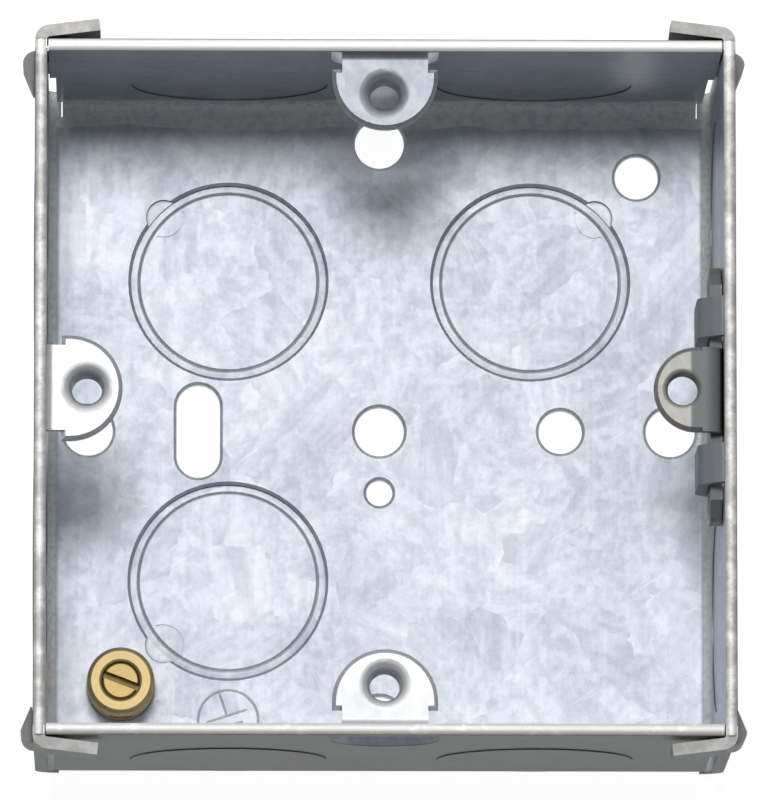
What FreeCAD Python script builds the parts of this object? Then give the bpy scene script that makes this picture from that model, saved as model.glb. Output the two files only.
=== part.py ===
import FreeCAD, Part
import math
import os

# Flush back box for one wiring accessory: folded galvanised sheet, a sliding lug and a brass earth terminal.
# The box lies on its back with Z out of the open front, X towards the sliding lug and Y up the wall.
# The origin is under the middle of the back, level with the outer faces of the pushed-out knockout discs.

# Folded sheet
BOX_WIDTH = 71.0          # over the left and right walls
BOX_HEIGHT = 71.0         # over the top and bottom walls
BOX_DEPTH = 35.0          # outside of the back to the front edge
SHEET = 1.2
BEND_RADIUS = 1.2         # inside of the folds round the back
EDGE_CROWN = 0.25         # fall of the rounded front edge from its middle to its sides

# Corners
FOLD_GAP = 0.15           # end of a top or bottom wall to the side wall beside it
CORNER_RELIEF = 0.2       # end of a top or bottom fold to the fold of the side wall beside it
SLIT_WIDTH = 0.8          # open slit beside the lower end of a top or bottom wall
SLIT_LENGTH = 15.0
TAB_DROP = 0.15           # front edge to the corner tab
TAB_DEPTH = 5.0           # corner tab, along the depth of the box
TAB_LENGTH = 6.0          # corner tab, along the wall that it grips
TAB_GAP = 0.1
TAB_FOLD_RADIUS = 0.3
TAB_SPRING = 7.0          # degrees that a corner tab has sprung off its wall
LOCK_DROP = 8.0           # front edge to the locking tab
LOCK_DEPTH = 7.0          # locking tab, along the depth of the box
LOCK_LENGTH = 3.7         # locking tab, back from the outside of its own wall
LOCK_TIP = 0.2            # thickness left at the hammered tip of a locking tab
LOCK_GAP = 0.1
LOCK_FOLD_RADIUS = 0.1

# Knockouts for 20 mm conduit
KNOCKOUT_RADIUS = 10.1    # sheared edge in the sheet
KNOCKOUT_GAP = 0.1        # disc edge inside the sheared edge
KNOCKOUT_PUSH = 0.5       # disc pushed out of the back
WALL_PUSH = 0.15          # disc pushed out of a wall
KNOCKOUT_BEVEL = 0.3      # worn edge of the sheet round the disc
DISC_RIM = 0.6            # sloping rim of a disc, in from its edge
DISC_RIM_DROP = 0.25      # fall of that rim
KNOCKOUT_PITCH = 31.3     # between centres, on the back and along three walls
KNOCKOUT_MARGIN = 0.9     # sheared edge to the fold, on a wall
SLIDE_WALL_PITCH = 41.0   # between centres on the wall of the sliding lug, clear of its loops
TIE_RADIUS = 1.85         # round tie that holds a disc
TIE_INSET = 0.6           # centre of the tie inside the sheared edge
TIE_DEPTH = 0.35
CREASE_RADIUS = 2.25      # crease round the tie, on the disc
CREASE_WIDTH = 0.3        # of that crease and of the one inside the rim of a disc
CREASE_DEPTH = 0.15

# Fixed lugs
LUG_INSET = 5.35          # screw hole in from the outside of the walls, which puts opposite holes 60.3 apart
LUG_DROP = 1.8            # front edge to the face of a lug
LUG_WIDTH = 10.7
LUG_REACH = 3.6           # screw hole to the tip
LUG_FOLD_RADIUS = 0.7
LUG_CUT = 0.1             # sheared gap round a lug where it was lanced out of its wall
LUG_RELIEF_WIDTH = 1.0
LUG_RELIEF_LENGTH = 1.6   # notch at the root, in from the wall
PUNCHED_EDGE = 0.4        # bevel that the punch left along the upper edge of a lug

# Drawn screw hole
SCREW_HOLE_RADIUS = 1.6
SCREW_HOLE_MOUTH = 1.05   # radius of the rounded mouth on a fixed lug
SLIDE_HOLE_MOUTH = 0.5    # radius of the rounded mouth on the sliding lug
COLLAR_WALL = 0.8
COLLAR_LENGTH = 4.0       # drawn below a fixed lug
SLIDE_COLLAR_LENGTH = 1.4  # drawn below the sliding lug

# Sliding lug and the loops that hold it
SLIDE_GAP = 0.1           # strip to the wall, and strip to the loops
SLIDE_FOLD_RADIUS = 0.5
SLIDE_TAB_WIDTH = 8.6
SLIDE_TAB_REACH = 2.95    # screw hole to the tip
STRIP_LENGTH = 26.0
STRIP_DEPTH = 7.4         # strip, along the depth of the box
STRIP_STEP = 0.5          # fold of the tab to the top edge of the strip
STRIP_BEVEL = 2.0         # cut corners at the ends of the strip
LOOP_WIDTH = 4.0
LOOP_CENTRES = 15.0
LOOP_SLOPE = 2.2          # slanting leg of a loop, along the depth of the box
LOOP_PLAY = 0.3           # strip to the legs of a loop
LOOP_FOLD_RADIUS = 0.5
LOOP_CUT = 0.1            # sheared gap each side of a loop

# Holes in the back
HOLE_BEVEL = 0.3          # worn edge round a punched hole
CENTRE_HOLE_RADIUS = 2.55
PILOT_HOLE_RADIUS = 1.35
PILOT_HOLE_DROP = 6.4
DRIVER_HOLE_RADIUS = 2.55  # behind each lug, for the end of its screw
FIXING_HOLE_RADIUS = 2.25
FIXING_OFFSET = 18.75     # fixing hole and fixing slot from the middle
FIXING_SLOT_LENGTH = 9.7
CORNER_HOLE_RADIUS = 2.25
CORNER_INSET = 8.8        # corner hole and earth terminal in from the outside of the walls

# Earth terminal
PILLAR_RADIUS = 3.45
PILLAR_HEIGHT = 6.0
PILLAR_EDGE = 0.4         # bevelled top edge
PILLAR_MOUTH = 0.2        # bevel at the mouth of the screw hole
WIRE_HOLE_RADIUS = 1.3
WIRE_HOLE_HEIGHT = 1.9    # above the back
SPIGOT_RADIUS = 2.0
SPIGOT_GAP = 0.05
RIVET_RADIUS = 2.7
RIVET_SETBACK = 0.15      # rivet head short of the pushed-out knockout discs
EARTH_SCREW_RADIUS = 1.95
EARTH_SCREW_GAP = 0.05
EARTH_SCREW_LENGTH = 2.5   # backed off, clear of the wire hole
EARTH_SCREW_SINK = 0.25   # below the face of the pillar
EARTH_SCREW_BEVEL = 0.25
EARTH_SCREW_POINT = 0.5   # bevel on the clamping end
DRIVER_SLOT_WIDTH = 0.75
DRIVER_SLOT_DEPTH = 1.1
DRIVER_SLOT_ANGLE = -21.0

OVERLAP = 1.0             # how far a cutter or a joined piece runs past the face that it starts from

Vector = FreeCAD.Vector
UP = Vector(0, 0, 1)

# Places worked out from the sizes
half_sheet = SHEET / 2
back = KNOCKOUT_PUSH
floor = back + SHEET
front = back + BOX_DEPTH
wall_x = BOX_WIDTH / 2 - half_sheet
wall_y = BOX_HEIGHT / 2 - half_sheet
fold_end_x = BOX_WIDTH / 2 - SHEET - BEND_RADIUS - CORNER_RELIEF
fold_end_y = BOX_HEIGHT / 2 - SHEET - BEND_RADIUS - CORNER_RELIEF
fold_top = floor + BEND_RADIUS
wall_end = BOX_WIDTH / 2 - SHEET - FOLD_GAP
lug_face = front - LUG_DROP
lug_middle = lug_face - half_sheet
lug_x = BOX_WIDTH / 2 - LUG_INSET
lug_y = BOX_HEIGHT / 2 - LUG_INSET
knockout_height = fold_top + KNOCKOUT_MARGIN + KNOCKOUT_RADIUS
disc_radius = KNOCKOUT_RADIUS - KNOCKOUT_GAP
strip_x = BOX_WIDTH / 2 - SHEET - SLIDE_GAP - half_sheet
strip_top = lug_middle - half_sheet - SLIDE_FOLD_RADIUS - STRIP_STEP
strip_bottom = strip_top - STRIP_DEPTH
terminal_x = CORNER_INSET - BOX_WIDTH / 2
terminal_y = CORNER_INSET - BOX_HEIGHT / 2


def across_x(u, v):
    """Section plane square to X."""
    return Vector(0, u, v)


def across_y(u, v):
    """Section plane square to Y."""
    return Vector(u, 0, v)


def across_z(u, v):
    """Section plane square to Z."""
    return Vector(u, v, 0)


def left_of(direction):
    """Direction turned a quarter turn to the left in its section plane."""
    return Vector(-direction.y, direction.x, 0)


def sheet_section(corners, inner_radius, plane, start_crown=0.0, end_crown=0.0):
    """Face of a strip of sheet folded along corners, with round bends and rounded or square ends."""
    path = [Vector(u, v, 0) for u, v in corners]
    runs = [(b - a).normalize() for a, b in zip(path, path[1:])]
    mean_radius = inner_radius + half_sheet
    ends = []
    edges = []
    for side in (1, -1):
        start = path[0] + runs[0] * start_crown + left_of(runs[0]) * side * half_sheet
        here = start
        for corner, before, after in zip(path[1:-1], runs, runs[1:]):
            turn = math.atan2(before.cross(after).z, before.dot(after))
            hand = math.copysign(1, turn)
            reach = mean_radius * math.tan(abs(turn) / 2)
            centre = corner - before * reach + left_of(before) * hand * mean_radius
            bend_start = corner - before * reach + left_of(before) * side * half_sheet
            bend_end = corner + after * reach + left_of(after) * side * half_sheet
            bend_middle = centre + (corner - centre).normalize() * (mean_radius - side * hand * half_sheet)
            edges.append(("line", here, bend_start))
            edges.append(("arc", bend_start, bend_middle, bend_end))
            here = bend_end
        end = path[-1] - runs[-1] * end_crown + left_of(runs[-1]) * side * half_sheet
        edges.append(("line", here, end))
        ends.append((start, end))
    for tip, crown, pick in ((path[0], start_crown, 0), (path[-1], end_crown, 1)):
        if crown > 0:
            edges.append(("arc", ends[0][pick], tip, ends[1][pick]))
        else:
            edges.append(("line", ends[0][pick], ends[1][pick]))
    shapes = []
    for kind, *points in edges:
        placed = [plane(point.x, point.y) for point in points]
        curve = Part.Arc(*placed) if kind == "arc" else Part.LineSegment(*placed)
        shapes.append(curve.toShape())
    return Part.Face(Part.Wire(Part.__sortEdges__(shapes)))


def swept(face, axis, low, high):
    """Solid of a section carried along an axis from one place to another."""
    solid = face.extrude(axis * (high - low))
    solid.translate(axis * low)
    return solid


def block(x_range, y_range, z_range):
    """Box between two places on each axis, given in either order."""
    low = Vector(min(x_range), min(y_range), min(z_range))
    high = Vector(max(x_range), max(y_range), max(z_range))
    size = high - low
    return Part.makeBox(size.x, size.y, size.z, low)


def turned(points):
    """Solid turned about Z from a half section of radius and height, where a list rounds a corner."""
    edges = []
    here = across_y(*points[0])
    for step in points[1:] + points[:1]:
        if isinstance(step, list):
            corner, end = (across_y(*point) for point in step)
            curve = Part.BezierCurve()
            curve.setPoles([here, corner, end])
        else:
            end = across_y(*step)
            curve = Part.LineSegment(here, end)
        edges.append(curve.toShape())
        here = end
    face = Part.Face(Part.Wire(edges))
    return face.revolve(Vector(0, 0, 0), UP, 360)


def hole_cutter(radius, bevel, depth):
    """Turned cutter for a punched hole with a bevelled mouth, which lies at zero height."""
    return turned([
        (0, OVERLAP),
        (radius + bevel, OVERLAP),
        (radius + bevel, 0),
        (radius, -bevel),
        (radius, -depth),
        (0, -depth),
    ])


def drawn_hole_cutter(radius, mouth, depth):
    """Turned cutter for a drawn hole with a rounded mouth, which lies at zero height."""
    return turned([
        (0, OVERLAP),
        (radius + mouth, OVERLAP),
        (radius + mouth, 0),
        [(radius, 0), (radius, -mouth)],
        (radius, -depth),
        (0, -depth),
    ])


def moved(shape, x, y, z):
    """Copy of a shape moved from the origin to a place."""
    copy = shape.copy()
    copy.translate(Vector(x, y, z))
    return copy


def all_joined(shapes):
    """One shape from several that meet, with the seams between flush faces taken out."""
    return shapes[0].fuse(shapes[1:]).removeSplitter()


def tongue_outline(width, root, tip):
    """Face in the XY plane of a tongue that points along -X from its root to a half-round tip."""
    half = width / 2
    round_start = tip + half
    wire = Part.Wire([
        Part.LineSegment(across_z(root, -half), across_z(root, half)).toShape(),
        Part.LineSegment(across_z(root, half), across_z(round_start, half)).toShape(),
        Part.Arc(across_z(round_start, half), across_z(tip, 0), across_z(round_start, -half)).toShape(),
        Part.LineSegment(across_z(round_start, -half), across_z(root, -half)).toShape(),
    ])
    return Part.Face(wire)


def lug_plate(width, root, tip):
    """Flat plate of a lug from its root to its half-round tip, with its upper edges bevelled by the punch."""
    plate = swept(tongue_outline(width, root, tip), UP, lug_face - SHEET, lug_face)
    upper_edges = [edge for edge in plate.Edges if edge.BoundBox.ZMin > lug_middle]
    return plate.makeChamfer(PUNCHED_EDGE, upper_edges)


def drawn_hole(shape, x, y, mouth, collar_length):
    """Lug with a screw hole drawn through it, which leaves a collar below."""
    outer = SCREW_HOLE_RADIUS + COLLAR_WALL
    depth = SHEET + collar_length
    collar = Part.makeCylinder(outer, depth - half_sheet, Vector(x, y, lug_face - depth), UP)
    cutter = moved(drawn_hole_cutter(SCREW_HOLE_RADIUS, mouth, depth + OVERLAP), x, y, lug_face)
    return shape.fuse(collar).cut(cutter)


def folded_walls():
    """Back and four walls folded up, open along the four corners."""
    section_y = sheet_section(
        [(-wall_y, front), (-wall_y, back + half_sheet), (wall_y, back + half_sheet), (wall_y, front)],
        BEND_RADIUS, across_x, EDGE_CROWN, EDGE_CROWN)
    section_x = sheet_section(
        [(-wall_x, front), (-wall_x, back + half_sheet), (wall_x, back + half_sheet), (wall_x, front)],
        BEND_RADIUS, across_y, EDGE_CROWN, EDGE_CROWN)
    x_axis = Vector(1, 0, 0)
    y_axis = Vector(0, 1, 0)
    side_start = fold_end_x + FOLD_GAP
    between_sides = block(
        (-side_start, side_start), (-BOX_HEIGHT, BOX_HEIGHT), (back - OVERLAP, front + OVERLAP))
    pieces = [
        swept(section_y, x_axis, -fold_end_x, fold_end_x),
        swept(section_x, y_axis, -fold_end_y, fold_end_y),
        swept(section_x, y_axis, -BOX_HEIGHT / 2, BOX_HEIGHT / 2).cut(between_sides),
    ]
    slit_start = BOX_WIDTH / 2 - SHEET - SLIT_WIDTH
    for side in (1, -1):
        for reach, low in ((slit_start, fold_top), (wall_end, fold_top + SLIT_LENGTH)):
            plate = sheet_section([(side * wall_y, low), (side * wall_y, front)], 0, across_x, 0, EDGE_CROWN)
            pieces.append(swept(plate, x_axis, -reach, reach))
    return all_joined(pieces)


def corner_joints(shell):
    """Shell with corner tabs folded over the top and bottom walls and locking tabs over the side walls."""
    lock_top = front - LOCK_DROP
    lock_bottom = lock_top - LOCK_DEPTH
    tab_top = front - TAB_DROP
    tab_bottom = tab_top - TAB_DEPTH
    lock_x = BOX_WIDTH / 2 + LOCK_GAP + half_sheet
    tab_y = BOX_HEIGHT / 2 + TAB_GAP + half_sheet
    lock_face = lock_x + half_sheet
    lock_end = BOX_HEIGHT / 2 - LOCK_LENGTH
    taper_start = BOX_HEIGHT / 2 - SHEET - LOCK_FOLD_RADIUS
    notch_y = BOX_HEIGHT / 2 - SHEET - LOCK_GAP
    spring = math.radians(TAB_SPRING)
    tab_end_x = wall_x - TAB_LENGTH * math.cos(spring)
    tab_end_y = tab_y + TAB_LENGTH * math.sin(spring)
    notches = []
    tabs = []
    for sx in (1, -1):
        for sy in (1, -1):
            notches.append(block(
                (sx * (wall_end + FOLD_GAP / 2), sx * (BOX_WIDTH / 2 + OVERLAP)),
                (sy * notch_y, sy * (BOX_HEIGHT / 2 + OVERLAP)),
                (lock_bottom - LOCK_GAP, lock_top + LOCK_GAP)))
            lock = sheet_section(
                [(sx * (wall_end - OVERLAP), sy * wall_y),
                 (sx * lock_x, sy * wall_y),
                 (sx * lock_x, sy * lock_end)],
                LOCK_FOLD_RADIUS, across_z)
            taper = Part.Face(Part.makePolygon([
                Vector(sx * lock_face, sy * taper_start, 0),
                Vector(sx * (lock_face + OVERLAP), sy * taper_start, 0),
                Vector(sx * (lock_face + OVERLAP), sy * lock_end, 0),
                Vector(sx * (lock_face - SHEET + LOCK_TIP), sy * lock_end, 0),
                Vector(sx * lock_face, sy * taper_start, 0)]))
            tabs.append(swept(lock, UP, lock_bottom, lock_top).cut(swept(taper, UP, lock_bottom, lock_top)))
            grip = sheet_section(
                [(sx * wall_x, sy * (BOX_HEIGHT / 2 - OVERLAP)),
                 (sx * wall_x, sy * tab_y),
                 (sx * tab_end_x, sy * tab_end_y)],
                TAB_FOLD_RADIUS, across_z)
            tabs.append(swept(grip, UP, tab_bottom, tab_top))
    return all_joined([shell.cut(notches)] + tabs)


def fixed_lug(half_span):
    """Lug folded in near the front of a wall that lies along +X, and the window that it leaves behind it."""
    wall = half_span - half_sheet
    hole = half_span - LUG_INSET
    tip = hole - LUG_REACH
    plate_root = half_span - SHEET - LUG_RELIEF_LENGTH
    mean_radius = LUG_FOLD_RADIUS + half_sheet
    fold_start = lug_middle + mean_radius
    fold_half = LUG_WIDTH / 2 - LUG_RELIEF_WIDTH
    section = sheet_section(
        [(wall, (fold_start + front) / 2), (wall, lug_middle), (plate_root - OVERLAP, lug_middle)],
        LUG_FOLD_RADIUS, across_y)
    fold = swept(section, Vector(0, 1, 0), -fold_half, fold_half)
    lug = fold.fuse(lug_plate(LUG_WIDTH, plate_root, tip))
    lug = drawn_hole(lug, hole, 0, SCREW_HOLE_MOUTH, COLLAR_LENGTH)

    flat_length = math.pi / 2 * mean_radius + wall - mean_radius - tip
    window_face = tongue_outline(LUG_WIDTH + 2 * LUG_CUT, 0, -flat_length - LUG_CUT)
    window = window_face.extrude(UP * (SHEET + 2 * OVERLAP))
    window.rotate(Vector(0, 0, 0), Vector(0, 1, 0), -90)
    window.translate(Vector(half_span + OVERLAP, 0, fold_start))
    return lug, window


def with_fixed_lugs(shell):
    """Shell with three lanced lugs: on the top, left and bottom walls."""
    lugs = []
    windows = []
    for angle, half_span in ((90, BOX_HEIGHT / 2), (180, BOX_WIDTH / 2), (270, BOX_HEIGHT / 2)):
        for shape, kept in zip(fixed_lug(half_span), (lugs, windows)):
            shape.rotate(Vector(0, 0, 0), UP, angle)
            kept.append(shape)
    return all_joined([shell.cut(windows)] + lugs)


def with_loops(shell):
    """Shell with two loops lanced inwards from the right wall, to hold the strip of the sliding lug."""
    inner_x = strip_x - SLIDE_GAP - SHEET
    top_in = strip_top + LOOP_PLAY
    top_root = top_in + LOOP_SLOPE
    bottom_in = strip_bottom - LOOP_PLAY
    bottom_root = bottom_in - LOOP_SLOPE
    section = sheet_section(
        [(wall_x, top_root + OVERLAP), (wall_x, top_root), (inner_x, top_in), (inner_x, bottom_in),
         (wall_x, bottom_root), (wall_x, bottom_root - OVERLAP)],
        LOOP_FOLD_RADIUS, across_y)
    windows = []
    loops = []
    for side in (1, -1):
        middle = side * LOOP_CENTRES / 2
        low = middle - LOOP_WIDTH / 2
        high = middle + LOOP_WIDTH / 2
        windows.append(block(
            (BOX_WIDTH / 2 - SHEET - OVERLAP, BOX_WIDTH / 2 + OVERLAP),
            (low - LOOP_CUT, high + LOOP_CUT),
            (bottom_root, top_root)))
        loops.append(swept(section, Vector(0, 1, 0), low, high))
    return all_joined([shell.cut(windows)] + loops)


def back_knockout_cutters():
    """Pocket over a disc of the back, its tie along +X and the crease round the tie, at zero height."""
    tie_x = KNOCKOUT_RADIUS - TIE_INSET
    rim_start = disc_radius - DISC_RIM
    crease_start = rim_start - CREASE_WIDTH
    crease_bottom = -KNOCKOUT_PUSH - CREASE_DEPTH
    pocket = turned([
        (0, OVERLAP),
        (KNOCKOUT_RADIUS + KNOCKOUT_BEVEL, OVERLAP),
        (KNOCKOUT_RADIUS + KNOCKOUT_BEVEL, 0),
        (KNOCKOUT_RADIUS, -KNOCKOUT_BEVEL),
        (KNOCKOUT_RADIUS, -KNOCKOUT_PUSH - DISC_RIM_DROP),
        (rim_start, -KNOCKOUT_PUSH),
        (rim_start - CREASE_WIDTH / 2, crease_bottom),
        (crease_start, -KNOCKOUT_PUSH),
        (0, -KNOCKOUT_PUSH),
    ])
    tie = Part.makeCylinder(TIE_RADIUS, TIE_DEPTH + OVERLAP, Vector(tie_x, 0, -TIE_DEPTH), UP)
    crease_middle = Vector(tie_x, 0, crease_bottom)
    crease = Part.makeCylinder(CREASE_RADIUS, CREASE_DEPTH + KNOCKOUT_GAP, crease_middle, UP)
    crease = crease.cut(Part.makeCylinder(CREASE_RADIUS - CREASE_WIDTH, OVERLAP, crease_middle, UP))
    crease = crease.common(Part.makeCylinder(crease_start - CREASE_WIDTH, OVERLAP, UP * crease_bottom, UP))
    return pocket, tie, crease


def knockout_sites():
    """Middle, inward direction and direction of the tie of each knockout, in the back and in the walls."""
    half_pitch = KNOCKOUT_PITCH / 2
    slide_half_pitch = SLIDE_WALL_PITCH / 2
    inner_x = BOX_WIDTH / 2 - SHEET
    inner_y = BOX_HEIGHT / 2 - SHEET
    in_back = []
    for sx, sy in ((-1, 1), (1, 1), (-1, -1)):
        in_back.append((Vector(sx * half_pitch, sy * half_pitch, floor), UP, Vector(sx, sy, 0)))
    in_walls = []
    for side in (1, -1):
        along_x = Vector(side, 0, 0)
        along_y = Vector(0, side, 0)
        for sy in (1, -1):
            place = Vector(side * half_pitch, sy * inner_y, knockout_height)
            in_walls.append((place, Vector(0, -sy, 0), along_x))
        for sx, half in ((-1, half_pitch), (1, slide_half_pitch)):
            place = Vector(sx * inner_x, side * half, knockout_height)
            in_walls.append((place, Vector(-sx, 0, 0), along_y))
    return in_back, in_walls


def with_knockouts(shell):
    """Shell with three knockouts in the back and two in each wall."""
    pocket, tie, crease = back_knockout_cutters()
    disc = Part.makeCylinder(disc_radius, KNOCKOUT_PUSH + KNOCKOUT_GAP, UP * -(KNOCKOUT_PUSH + SHEET), UP)
    wall_pocket = Part.makeCylinder(KNOCKOUT_RADIUS, WALL_PUSH + OVERLAP, UP * -WALL_PUSH, UP)
    wall_disc = Part.makeCylinder(disc_radius, WALL_PUSH + KNOCKOUT_GAP, UP * -(WALL_PUSH + SHEET), UP)
    in_back, in_walls = knockout_sites()
    cutters = []
    discs = []
    for sites, pieces in (
            (in_back, ((pocket, cutters), (tie, cutters), (crease, cutters), (disc, discs))),
            (in_walls, ((wall_pocket, cutters), (wall_disc, discs)))):
        for place, inward, tie_side in sites:
            turn = FreeCAD.Rotation(tie_side, inward.cross(tie_side), inward, "ZXY")
            for shape, kept in pieces:
                copy = shape.copy()
                copy.Placement = FreeCAD.Placement(place, turn)
                kept.append(copy)
    return shell.cut(cutters).fuse(discs).removeSplitter()


def with_holes(shell):
    """Shell with the holes punched through its back."""
    corner_x = BOX_WIDTH / 2 - CORNER_INSET
    corner_y = BOX_HEIGHT / 2 - CORNER_INSET
    depth = SHEET + OVERLAP
    round_holes = [
        (CENTRE_HOLE_RADIUS, 0, 0),
        (PILOT_HOLE_RADIUS, 0, -PILOT_HOLE_DROP),
        (FIXING_HOLE_RADIUS, FIXING_OFFSET, 0),
        (CORNER_HOLE_RADIUS, corner_x, corner_y),
        (DRIVER_HOLE_RADIUS, lug_x, 0),
        (DRIVER_HOLE_RADIUS, -lug_x, 0),
        (DRIVER_HOLE_RADIUS, 0, lug_y),
        (DRIVER_HOLE_RADIUS, 0, -lug_y),
    ]
    cutters = [moved(hole_cutter(radius, HOLE_BEVEL, depth), x, y, floor) for radius, x, y in round_holes]
    slot_end = hole_cutter(FIXING_HOLE_RADIUS, HOLE_BEVEL, depth)
    slot_run = FIXING_SLOT_LENGTH / 2 - FIXING_HOLE_RADIUS
    slot_outline = slot_end.slice(Vector(0, 1, 0), 0)[0]
    slot_middle = swept(Part.Face(slot_outline), Vector(0, 1, 0), -slot_run, slot_run)
    for piece, y in ((slot_end, slot_run), (slot_end, -slot_run), (slot_middle, 0)):
        cutters.append(moved(piece, -FIXING_OFFSET, y, floor))
    spigot_hole = Part.makeCylinder(SPIGOT_RADIUS + SPIGOT_GAP, SHEET + 2 * OVERLAP,
                                    Vector(terminal_x, terminal_y, back - OVERLAP), UP)
    return shell.cut(cutters + [spigot_hole])


def box_shell():
    """Whole folded sheet of the box."""
    shell = folded_walls()
    shell = corner_joints(shell)
    shell = with_fixed_lugs(shell)
    shell = with_loops(shell)
    shell = with_knockouts(shell)
    return with_holes(shell)


def adjustable_lug():
    """Strip behind the loops with a lug folded in from its top edge."""
    tip = lug_x - SLIDE_TAB_REACH
    plate_root = strip_x - half_sheet - SLIDE_FOLD_RADIUS
    half_tab = SLIDE_TAB_WIDTH / 2
    section = sheet_section(
        [(strip_x, strip_bottom), (strip_x, lug_middle), (plate_root - PUNCHED_EDGE, lug_middle)],
        SLIDE_FOLD_RADIUS, across_y)
    fold = swept(section, Vector(0, 1, 0), -half_tab, half_tab)
    plate = lug_plate(SLIDE_TAB_WIDTH, plate_root, tip)
    half = STRIP_LENGTH / 2
    corners = [
        (-half, strip_bottom + STRIP_BEVEL), (-half + STRIP_BEVEL, strip_bottom),
        (half - STRIP_BEVEL, strip_bottom), (half, strip_bottom + STRIP_BEVEL),
        (half, strip_top - STRIP_BEVEL), (half - STRIP_BEVEL, strip_top),
        (-half + STRIP_BEVEL, strip_top), (-half, strip_top - STRIP_BEVEL),
    ]
    wire = Part.makePolygon([across_x(*corner) for corner in corners + corners[:1]])
    strip = swept(Part.Face(wire), Vector(1, 0, 0), strip_x - half_sheet, strip_x + half_sheet)
    lug = all_joined([fold, plate, strip])
    return drawn_hole(lug, lug_x, 0, SLIDE_HOLE_MOUTH, SLIDE_COLLAR_LENGTH).removeSplitter()


def earth_terminal():
    """Brass pillar with a wire hole across it and a threaded hole down it, riveted through the back."""
    top = floor + PILLAR_HEIGHT
    pillar = turned([
        (0, RIVET_SETBACK),
        (RIVET_RADIUS - (back - RIVET_SETBACK), RIVET_SETBACK),
        (RIVET_RADIUS, back),
        (SPIGOT_RADIUS, back),
        (SPIGOT_RADIUS, floor),
        (PILLAR_RADIUS, floor),
        (PILLAR_RADIUS, top - PILLAR_EDGE),
        (PILLAR_RADIUS - PILLAR_EDGE, top),
        (0, top),
    ])
    wire_axis = floor + WIRE_HOLE_HEIGHT
    thread_radius = EARTH_SCREW_RADIUS + EARTH_SCREW_GAP
    thread = moved(hole_cutter(thread_radius, PILLAR_MOUTH, top - wire_axis), 0, 0, top)
    wire_hole = Part.makeCylinder(WIRE_HOLE_RADIUS, 2 * PILLAR_RADIUS + 2 * OVERLAP,
                                  Vector(0, -PILLAR_RADIUS - OVERLAP, wire_axis), Vector(0, 1, 0))
    return moved(pillar.cut([thread, wire_hole]), terminal_x, terminal_y, 0)


def earth_screw():
    """Slotted screw in the pillar, with a bevelled clamping end."""
    top = floor + PILLAR_HEIGHT - EARTH_SCREW_SINK
    bottom = top - EARTH_SCREW_LENGTH
    screw = turned([
        (0, bottom),
        (EARTH_SCREW_RADIUS - EARTH_SCREW_POINT, bottom),
        (EARTH_SCREW_RADIUS, bottom + EARTH_SCREW_POINT),
        (EARTH_SCREW_RADIUS, top - EARTH_SCREW_BEVEL),
        (EARTH_SCREW_RADIUS - EARTH_SCREW_BEVEL, top),
        (0, top),
    ])
    half = DRIVER_SLOT_WIDTH / 2
    slot = block((-EARTH_SCREW_RADIUS - OVERLAP, EARTH_SCREW_RADIUS + OVERLAP), (-half, half),
                 (top - DRIVER_SLOT_DEPTH, top + OVERLAP))
    slot.rotate(Vector(0, 0, 0), UP, DRIVER_SLOT_ANGLE)
    return moved(screw.cut(slot), terminal_x, terminal_y, 0)


os.makedirs("parts", exist_ok=True)
for make_piece in (box_shell, adjustable_lug, earth_terminal, earth_screw):
    piece = make_piece()
    piece.exportStep("parts/" + make_piece.__name__ + ".step")
    print(make_piece.__name__, len(piece.Solids), "solid", round(piece.Volume, 2), "mm3", piece.isValid())
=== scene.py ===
"""Looks, studio and camera for a folded steel wall box with a sliding lug and a brass earth terminal.

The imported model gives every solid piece, in metres, with the box on its back and Z out of the open front.
This file gives those pieces their finishes and adds the fine forms: the threads in the four screw holes and
the stamped earth sign on the back. Then it sets the pale floor, the lamps and the camera.
"""

import enum
import functools
import logging
import math
from dataclasses import dataclass
from typing import Any

import bpy
import numpy as np
from mathutils import Matrix, Vector


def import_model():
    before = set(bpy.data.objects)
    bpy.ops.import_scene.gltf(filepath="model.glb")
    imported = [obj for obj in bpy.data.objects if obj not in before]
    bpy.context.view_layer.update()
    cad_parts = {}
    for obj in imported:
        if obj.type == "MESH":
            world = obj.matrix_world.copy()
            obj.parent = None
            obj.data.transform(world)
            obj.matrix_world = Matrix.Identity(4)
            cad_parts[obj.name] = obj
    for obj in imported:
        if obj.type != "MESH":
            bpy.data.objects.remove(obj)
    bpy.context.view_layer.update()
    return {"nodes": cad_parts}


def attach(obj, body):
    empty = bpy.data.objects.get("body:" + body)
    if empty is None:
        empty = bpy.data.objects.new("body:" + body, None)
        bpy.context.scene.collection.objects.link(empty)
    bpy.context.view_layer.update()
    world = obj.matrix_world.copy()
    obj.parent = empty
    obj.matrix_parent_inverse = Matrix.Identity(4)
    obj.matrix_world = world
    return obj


LOG = logging.getLogger("wall_box")
MM = 0.001
LUG_OFFSET = 30.15 * MM
CREVICE_SAMPLES = 8

Colour = tuple[float, float, float, float]
Point = tuple[float, float, float]
Spot = tuple[float, float]
Span = tuple[float, float]
Array = np.ndarray
Socket = bpy.types.NodeSocket

WHOLE: Span = (0.0, 1.0)
# Limits, in metres, that no point of the part reaches
NOWHERE: Span = (1.0, 2.0)
WHITE: Colour = (1.0, 1.0, 1.0, 1.0)
UP: Point = (0.0, 0.0, 1.0)


class Body(enum.Enum):
    """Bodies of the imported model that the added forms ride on."""

    BOX = "box"
    SLIDING_LUG = "sliding_lug"


class Slot(enum.Enum):
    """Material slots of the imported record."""

    ZINC = "galvanised"


class Lobe(enum.Enum):
    """Ray kinds that see the backdrop as plain white."""

    CAMERA = "Is Camera Ray"
    GLOSSY = "Is Glossy Ray"
    TRANSMISSION = "Is Transmission Ray"


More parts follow.
